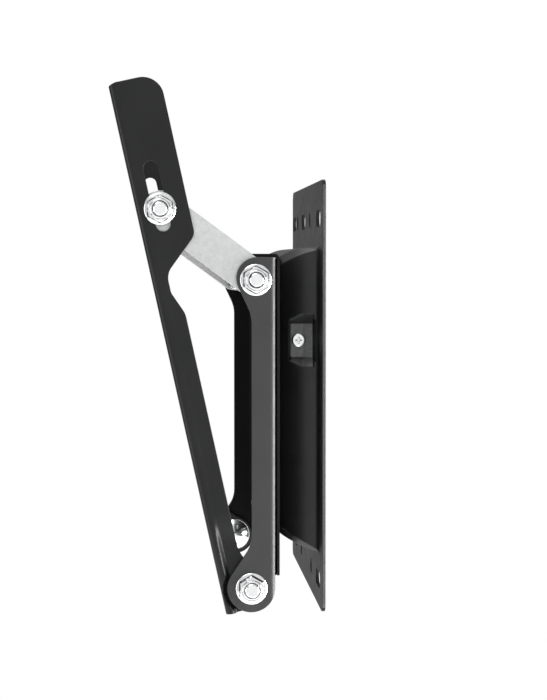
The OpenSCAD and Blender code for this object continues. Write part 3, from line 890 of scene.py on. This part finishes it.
SCREEN_SLOTS = (15.0, 65.0, 115.0, 165.0, 215.0, 265.0)
SCREEN_SLOT_L = 16.0
PIVOT_HOLE = 8.1


def rail_point(x, back, up):
    """A point of the rail's own frame: x, behind the pivot line, above the pivot."""
    return (x, LOWER_PIVOT[0] + back * cos(TILT) - up * sin(TILT),
            LOWER_PIVOT[1] + back * sin(TILT) + up * cos(TILT))


def step_in(back, up):
    """Inward set of the rail's side: a full joggle round the cradle's lobe that fades into a bead above."""
    lobe = LOW_LOBE_R + LOBE_GAP
    end = STEP_END
    if abs(up) < lobe:
        end = min(end, -sqrt(lobe * lobe - up * up))
    deep = STEP * (1 - smooth_step((up - STEP_TOP) / STEP_FADE)) ** 2
    bead = BEAD * (1 - smooth_step((up - BEAD_LOW) / (BEAD_TOP - BEAD_LOW)))
    width = SLOPE_W - SLOPE_LOSS * smooth_step((up - BEAD_LOW) / SLOPE_RUN)
    return max(deep, bead) * smooth_step((back - end + width) / width)


def rail(side_name):
    """A tilting rail: front strip, and side flange with tilt slot and joggled ear."""
    outer = mm_box("cradle_channel")[1].x
    bend_x, bend_u = outer - RAIL_BEND, RAIL_BEND - RAIL_FRONT
    quarter = pi / 2 * RAIL_BEND
    front_u = bend_u - quarter
    strip_u = front_u - (STRIP_W - RAIL_BEND)

    def place(u, v, d):
        forward, inward = fold(bend_u - u, RAIL_BEND, d)
        return rail_point(outer - inward - step_in(u, v), bend_u - forward, v)

    # the side flange's back edge, from the ear up, then the strip's front
    fillet_u = LOWER_BACK + EAR_FILLET
    fillet_v = sqrt((EAR_FILLET + RAIL_BELOW) ** 2 - fillet_u ** 2)
    meet = degrees(atan2(fillet_v, fillet_u))
    ear = arc((0, 0), RAIL_BELOW, -90, meet)
    ear += arc((fillet_u, fillet_v), EAR_FILLET, meet + 180, 180)[1:]
    foot, head = -RAIL_BELOW, RAIL_ABOVE
    above = rounded([
        (strip_u, foot + STRIP_FOOT, 1.5), (front_u, foot + STRIP_FOOT, 0), (bend_u, foot, 0),
        (LOWER_BACK, foot, 0), (LOWER_BACK, KNEE, 12),
        (WAIST, WAIST_LOW, 6), (WAIST, WAIST_HIGH, 10), (RAIL_BACK, SHOULDER, 7),
        (RAIL_BACK, head, 12), (bend_u + 0.5, head, 1.5), (front_u, head - STRIP_HEAD, 2),
        (strip_u, head - STRIP_HEAD, 3),
    ])
    split = next(i for i, p in enumerate(above) if (p - Vector((LOWER_BACK, foot))).length < 0.001)
    outline = above[:split] + ear + above[split + 1:]

    hole_u = front_u - (bend_x - SCREEN_HOLE["pos_m"][0] / MM)
    screen_r = SCREEN_HOLE["dims"]["r_mm"]
    holes = [circle(0, 0, PIVOT_HOLE / 2)]
    for name in "abcd":
        y, z = (value / MM for value in mount(f"screen_hole_right_{name}")["pos_m"][1:])
        up = -(y - LOWER_PIVOT[0]) * sin(TILT) + (z - LOWER_PIVOT[1]) * cos(TILT)
        holes.append(circle(hole_u, up, screen_r))
    holes += [oblong(hole_u, up, SCREEN_SLOT_L, 2 * screen_r, upright=True) for up in SCREEN_SLOTS]
    holes.append(oblong(SLOT_FRONT, SLOT_MID, SLOT_L, SLOT_W, upright=True))
    pattern = Pattern(sheet_loops(outline, holes, RAIL_RIM))
    pattern.cut("u", [bend_u - quarter * i / 9 for i in range(10)])
    pattern.cut("u", [bend_u + CUT_BACK * i for i in range(1, 11)])
    pattern.cut("v", [-7 * CUT_UP + CUT_UP * i for i in range(44)])
    pattern.cut("v", [60 + CUT_HIGH * i for i in range(1, 18)])
    body = on_side(sheet_body(*pattern.formed(place, SHEET), RAIL_RIM), SIDES[side_name])
    make(f"rail_{side_name}_pressing", body, f"{side_name}_rail", f"rail_{side_name}", RAIL_PAINT, 50)


# ---- Links ----

LINK_W, LINK_T = 21.0, 3.0
LINK_END_R, LINK_END_CUT = 9.3, 65.0
LINK_RIM = 0.45
LINK_HOLE = 8.0


def link(side_name):
    """A flat bar from the upper pivot to the slot bolt, with a cut-off end above the pivot."""
    face_x = mm_box("link_right")[1].x
    span = SLOT_BOLT - UPPER_PIVOT
    along = span.normalized()
    across = Vector((-along.y, along.x))
    half = LINK_W / 2
    lean = radians(LINK_END_CUT)
    tip = -LINK_END_R / cos(lean)
    cut = (half * sin(lean) - LINK_END_R) / cos(lean)
    far = span.length + half
    outline = rounded([(tip, 0, LINK_END_R), (cut, -half, 0), (far, -half, half),
                       (far, half, half), (cut, half, 0)])

    def place(u, v, d):
        at = UPPER_PIVOT + along * u + across * v
        return face_x - d, at.x, at.y

    holes = [circle(0, 0, PIVOT_HOLE / 2), circle(span.length, 0, LINK_HOLE / 2)]
    body = on_side(flat_body(outline, holes, place, LINK_T, LINK_RIM), SIDES[side_name])
    make(f"link_{side_name}_bar", body, f"{side_name}_link", f"link_{side_name}", DULL, sharp=50)


# ---- Fasteners ----

NUT_AF, NUT_FLANGE = 13.0, 17.9  # across its flats, and across its flange
NUT_H, NUT_HEX_H, NUT_BORE = 8.0, 6.5, 4.02
NUT_CONE, HEX_CHAMFER = 24.0, 28.0  # slopes in degrees
CONE_FOOT = 1.35  # height of the flange's cone at its rim
# (outwards, up) from where a flat of the nut meets the cone: a small crevice, darkened with painted shade
CREVICE = {"hex_skirt": (0.95, 0), "hex_cove": (0.50, -0.08), "hex_foot": (0, 0.10), "hex_wall": (0, 0.90)}
HEX_STEPS, BOLT_STEPS, SCREW_STEPS = 96, 48, 160
PITCH_M8, PITCH_M4 = 1.25, 0.7
BOLT_R, BOLT_HEAD_H, NECK_R = 3.99, 4.8, 3.49
SCREW_R = 1.98
RIVET_R, RIVET_HEAD_R = 2.5, 5.0
CROSS_L, CROSS_W, CROSS_DEEP = 3.9, 0.75, 1.0


def hex_reach(angle, across_flats, soft=0.985):
    """Distance from the axis to a hexagon's edge, with its corners eased."""
    turn = (angle + pi / 6) % (pi / 3) - pi / 6
    corner = across_flats / 2 / cos(pi / 6) * soft
    return min(across_flats / 2 / cos(turn), corner)


def flange_nut():
    """M8 flange nut: chamfered hexagon on a coned flange, with a round collar at its end."""
    cone = tan(radians(NUT_CONE))
    chamfer = tan(radians(HEX_CHAMFER))
    edge, hex_h, top_h, bore = NUT_FLANGE / 2, NUT_HEX_H, NUT_H, NUT_BORE

    def shape(angle, height, r):
        reach = hex_reach(angle, NUT_AF)
        if r in CREVICE:
            out, up = CREVICE[r]
            return CONE_FOOT + cone * (edge - reach - out) + up, reach + out
        corner = hex_h - chamfer * max(reach - NUT_AF / 2 + 0.25, 0)
        if r == "hex_top":
            return corner, reach
        if r == "hex_ease":
            return corner + 0.10, reach - 0.22
        return height, r

    collar_foot, lip, throat = (hex_h - 0.10, 5.75), (top_h - 0.2, bore + 0.35), (top_h - 0.7, bore)
    profile = [
        (0.5, bore), (0, bore + 0.5), (0, edge - 0.5), (0.12, edge - 0.15), (0.45, edge),
        (0.95, edge), (1.25, edge - 0.12), (1.42, edge - 0.40), *[(0, name) for name in CREVICE],
        (0, "hex_top"), (0, "hex_ease"), (hex_h, NUT_AF / 2 - 0.40), collar_foot, (hex_h + 0.10, 5.5),
        (top_h - 0.45, 5.35), (top_h - 0.15, 5.25), (top_h, 5.0), (top_h, bore + 0.65), lip, throat,
        (0.5, bore),
    ]
    # The crevice, collar foot and bore rows are darkened as painted shade.
    return lathe(profile, HEX_STEPS, shape, {(0, "hex_cove"), (0, "hex_foot"), collar_foot, lip, throat})


def thread_reach(angle, height, radius, pitch, start, end=None):
    """Radius of a thread that runs out at its start, and at its end where one is given."""
    turn = (height / pitch - angle / tau) % 1.0
    ridge = 1 - abs(2 * turn - 1)
    fade = smooth_step((height - start) / pitch)
    if end:
        fade *= smooth_step((end - height) / (0.8 * pitch))
    depth = 0.54 * pitch * (1 - min(1.0, ridge * 1.15))
    return radius - depth * fade


def thread_rows(start, end, pitch):
    """Heights of a thread's rows of points."""
    rows = [start]
    while rows[-1] + pitch / 8 < end:
        rows.append(rows[-1] + pitch / 8)
    return rows


def dome_drop(r, head_r, head_h):
    """How far a domed head drops from its crown at a distance from the axis."""
    sphere_r = (head_r ** 2 + head_h ** 2) / (2 * head_h)
    return sphere_r - sqrt(sphere_r * sphere_r - r * r)


def bolt_body(head_r, length, plain, neck=()):
    """A domed bolt along +X from the underside of its head, which is on the -X side.

    Its shank is plain up to a height, and may have a neck between two heights."""
    profile = [(-BOLT_HEAD_H, 0.02)]
    for k in range(1, 12):
        r = (head_r - 0.25) * k / 11
        profile.append((-BOLT_HEAD_H + dome_drop(r, head_r, BOLT_HEAD_H), r))
    profile += [(-0.5, head_r), (-0.15, head_r - 0.05), (0, head_r - 0.3), (0, BOLT_R + 0.3), (0.3, BOLT_R)]
    if neck:
        start, end = neck
        profile += [(start, BOLT_R), (start + 0.15, NECK_R), (end - 0.15, NECK_R), (end, BOLT_R)]
    profile += [(row, BOLT_R) for row in thread_rows(plain, length - 0.7, PITCH_M8)]
    last_row, run_out = profile[-1], (length - 0.65, BOLT_R - 0.12)
    profile += [run_out, (length - 0.15, BOLT_R - 0.60), (length, BOLT_R - 0.90), (length, 0.02)]

    def shape(angle, height, r):
        if height < plain or height > length - 0.68 or r < BOLT_R - 0.01:
            return height, r
        return height, thread_reach(angle, height, r, PITCH_M8, plain)

    # The last thread rows are darkened as painted shade.
    return lathe(profile, BOLT_STEPS, shape, {run_out, last_row})


def both_ends(half, thickness):
    """A ring's closed profile from the half at its low end."""
    return half + [(thickness - h, r) for h, r in reversed(half)] + half[:1]


def washer_body(thickness, outer_r, inner_r, edge):
    """A flat ring with rounded outer edges and bevelled inner ones."""
    part = 0.3 * edge
    half = [(edge, inner_r), (0, inner_r + edge), (0, outer_r - edge),
            (part, outer_r - part), (edge, outer_r)]
    return lathe(both_ends(half, thickness), steps=64)


def cross_recess(angle, r):
    """Depth of the cross-head recess at a point of the lock screw's top."""
    y, z = abs(r * cos(angle)), abs(r * sin(angle))
    deepest = 0.0
    for a, b in ((y, z), (z, y)):
        across = smooth_step((CROSS_W / 2 + 0.14 - b) / 0.28)
        along = min(1.0, max(0.0, (CROSS_L / 2 - a) / (0.55 * CROSS_L / 2)))
        deepest = max(deepest, across * along ** 0.7)
    return CROSS_DEEP * deepest


def lock_screw_body(length, head_r):
    """Pan-head cross-recess screw along +X, with its tip at x = 0 and its head's seat at length."""
    rows = thread_rows(0.5, length - 1.2, PITCH_M4)
    profile = [(0, 0.02), (0, SCREW_R - 0.6), (0.45, SCREW_R - 0.1)] + [(row, SCREW_R) for row in rows]
    profile += [
        (length - 0.3, SCREW_R), (length, SCREW_R + 0.3), (length, head_r - 0.25),
        (length + 0.12, head_r - 0.05), (length + 0.35, head_r), (length + 1.75, head_r - 0.04),
    ]
    side_h, steps = 1.95, 26
    for k in range(steps + 1):
        r = (head_r - 0.1) * (1 - k / steps)
        swell = max(1 - (r / head_r) ** 8, 0) ** 0.5
        profile.append((length + side_h + (SCREW_HEAD_H - side_h) * swell, max(r, 0.02)))

    def shape(angle, height, r):
        if 0.46 < height < rows[-1]:
            return height, thread_reach(angle, height, r, PITCH_M4, 0.3, rows[-1])
        if height > length + 1.5:
            return height - cross_recess(angle, r), r
        return height, r

    return lathe(profile, SCREW_STEPS, shape)


def hex_nut_body(thickness, across_flats, bore):
    """Plain hexagon nut, chamfered at both ends."""
    chamfer = tan(radians(HEX_CHAMFER))
    flat = across_flats / 2

    def shape(angle, height, r):
        if r != "hex":
            return height, r
        reach = hex_reach(angle, across_flats, 0.99)
        drop = chamfer * max(reach - flat + 0.15, 0)
        return (thickness - drop if height else drop), reach

    half = [(0.3, bore), (0, bore + 0.3), (0, flat - 0.2), (0, "hex")]
    return lathe(both_ends(half, thickness), HEX_STEPS, shape)


def rivets():
    """The six rivets that join cradle and hanger plate."""
    low, high = mm_box("cradle_rivets")
    flat = mm_box("cradle_channel")[1].y - SHEET
    head_h, head_r = flat - low.y, RIVET_HEAD_R
    end = flat - high.y
    profile = [(end - 0.02, 0.02), (end - 0.02, RIVET_R - 0.2), (end + 0.2, RIVET_R), (-0.02, RIVET_R),
               (0, head_r - 0.3), (0.2, head_r - 0.02)]
    for k in range(12):
        r = (head_r - 0.1) * (1 - k / 11)
        profile.append((head_h - dome_drop(r, head_r, head_h), max(r, 0.02)))
    points, faces, weights = lathe(profile, steps=40)
    bodies = []
    for x in (low.x + head_r, 0, high.x - head_r):
        for z in (low.z + head_r, high.z - head_r):
            bodies.append(([Vector((x + p.y, flat - p.x, z + p.z)) for p in points], faces, weights))
    make("cradle_rivet_set", joined(*bodies), "wall_side", "cradle_rivets", BRIGHT)


def fasteners(side_name):
    """One side's bolts, nuts and washers, and its lock screw."""
    wall, moving = "wall_side", f"{side_name}_link"

    def put(piece, node, body, x, at, rides, material=BRIGHT):
        name = f"{node}_{side_name}"
        make(f"{name}_{piece}", placed(body, x, at, SIDES[side_name]), rides, name, material, sharp=38)

    def size(node):
        """Start along X, length and radius of a round node."""
        low, high = mm_box(f"{node}_right")
        return low.x, high.x - low.x, (high.y - low.y) / 2

    def nylon_ring(node, at, rides):
        x, thick, outer = size(node)
        put("ring", node, washer_body(thick, outer, inner_r=4.0, edge=0.15), x, at, rides, PLASTIC)

    for end, at in (("lower", LOWER_PIVOT), ("upper", UPPER_PIVOT)):
        x, length, head_r = size(f"{end}_bolt")
        body = bolt_body(head_r, length - BOLT_HEAD_H, plain=5.5)
        put("domed", f"{end}_bolt", body, x + BOLT_HEAD_H, at, wall)
        put("flanged", f"{end}_nut", flange_nut(), size(f"{end}_nut")[0], at, wall)
        nylon_ring(f"{end}_washer", at, wall)

    x, length, head_r = size("slot_bolt")
    seat = x + BOLT_HEAD_H
    nut_x, neck_x = size("slot_nut")[0], mm_box("glide_washer_right")[1].x
    body = bolt_body(head_r, length - BOLT_HEAD_H, nut_x - seat + 0.3, neck=(neck_x - seat, nut_x - seat))
    put("domed", "slot_bolt", body, seat, SLOT_BOLT, moving)
    put("flanged", "slot_nut", flange_nut(), nut_x, SLOT_BOLT, moving)
    x, thick, outer = size("slot_washer")
    slack = outer - NUT_FLANGE / 2  # the washer sits this much high, so its edge shows above the nut
    body = washer_body(thick, NUT_FLANGE / 2, inner_r=3.5 + slack, edge=0.2)
    put("ring", "slot_washer", body, x, SLOT_BOLT + Vector((0, slack)), moving)
    nylon_ring("glide_washer", SLOT_BOLT, moving)

    x, length, head_r = size("lock_screw")
    put("pan_head", "lock_screw", lock_screw_body(length - SCREW_HEAD_H, head_r), x, LOCK_AXIS, wall)
    x, thick, _ = size("lock_nut")
    put("hexagon", "lock_nut", hex_nut_body(thick, across_flats=7.0, bore=2.02), x, LOCK_AXIS, wall)


# ---- Studio ----

FLOOR_DROP = 300.0  # the mount hangs clear of the floor, as on a wall
FLOOR_HALF = 0.8  # in metres


def room():
    """Air that is white where it is seen. The metal reflects it bright above and on the right, else dim."""
    world = bpy.data.worlds.new("studio_air")
    SCENE.world = world
    g = Graph(world, "Background", "Generated")
    parts = g.node("SeparateXYZ", Vector=g.place)

    def along(axis):
        """0 at one end of the axis and 1 at the other."""
        return g.maths("MULTIPLY_ADD", parts.outputs[axis], 0.5, 0.5)

    by_height = g.ramp(along("Z"), [(0.0, 0.30), (0.35, 0.30), (0.60, 0.25), (0.80, 0.75), (1.0, 0.9)])
    by_end = g.ramp(along("X"), [(0.0, 0.17), (0.45, 0.13), (0.68, 0.20), (0.82, 0.75), (1.0, 1.0)])
    seen = g.node("LightPath").outputs["Is Camera Ray"]
    g.set(Color=g.maths("MAXIMUM", g.maths("MAXIMUM", by_height, by_end), seen), Strength=1.0)


def aimed(thing, place, aim):
    """Puts a light or a camera at a place and turns it to look at another."""
    thing.location = place
    thing.rotation_euler = (Vector(aim) - Vector(place)).to_track_quat("-Z", "Y").to_euler()


def studio():
    """The floor, the room and its lights."""
    z = CAD_BOX[0][2] - FLOOR_DROP * MM
    corners = [(x * FLOOR_HALF, y * FLOOR_HALF, z) for x, y in ((-1, -1), (1, -1), (1, 1), (-1, 1))]
    floor_mesh = bpy.data.meshes.new("studio_floor")
    floor_mesh.from_pydata(corners, [], [(0, 1, 2, 3)])
    floor = add_object("studio_floor", floor_mesh)
    material, g = new_material("studio_floor_paint")
    g.set(Roughness=0.8, Base_Color=g.ramp(g.noise(1.2, 2), [(0.3, 0.93), (0.7, 0.95)]),
          Emission_Color=(1, 1, 1), Emission_Strength=0.35)
    floor_mesh.materials.append(material)
    room()

    def softbox(name, place, aim, size, power):
        data = bpy.data.lights.new(name, "AREA")
        data.shape = "RECTANGLE"
        data.size, data.size_y = size
        data.energy = power
        lamp = add_object(name, data)
        aimed(lamp, place, aim)

    softbox("overhead_softbox", (0.3, -0.6, 1.5), (0, -0.05, -0.05), (1.2, 1.2), 14)
    softbox("side_strip", (0.24, 0.78, -0.25), (0.1, -0.03, -0.12), (0.50, 0.8), 23)
    softbox("front_strip", (0.30, -0.95, -0.10), (0.1, -0.08, -0.1), (0.35, 0.8), 3)


def camera():
    """The view from the mount's right side, nearly along the wall."""
    data = bpy.data.cameras.new("camera")
    data.lens = 97.9
    data.sensor_width = 36.0
    data.clip_start = 0.05
    eye = add_object("camera", data)
    aimed(eye, (1.175, -0.1002, -0.0246), (0.110, -0.0296, -0.0743))
    SCENE.camera = eye
    SCENE.view_settings.view_transform = "Standard"


wall_plate()
hanger_plate()
cradle()
rivets()
for name in SIDES:
    rail(name)
    link(name)
    fasteners(name)
studio()
camera()

bpy.context.view_layer.update()
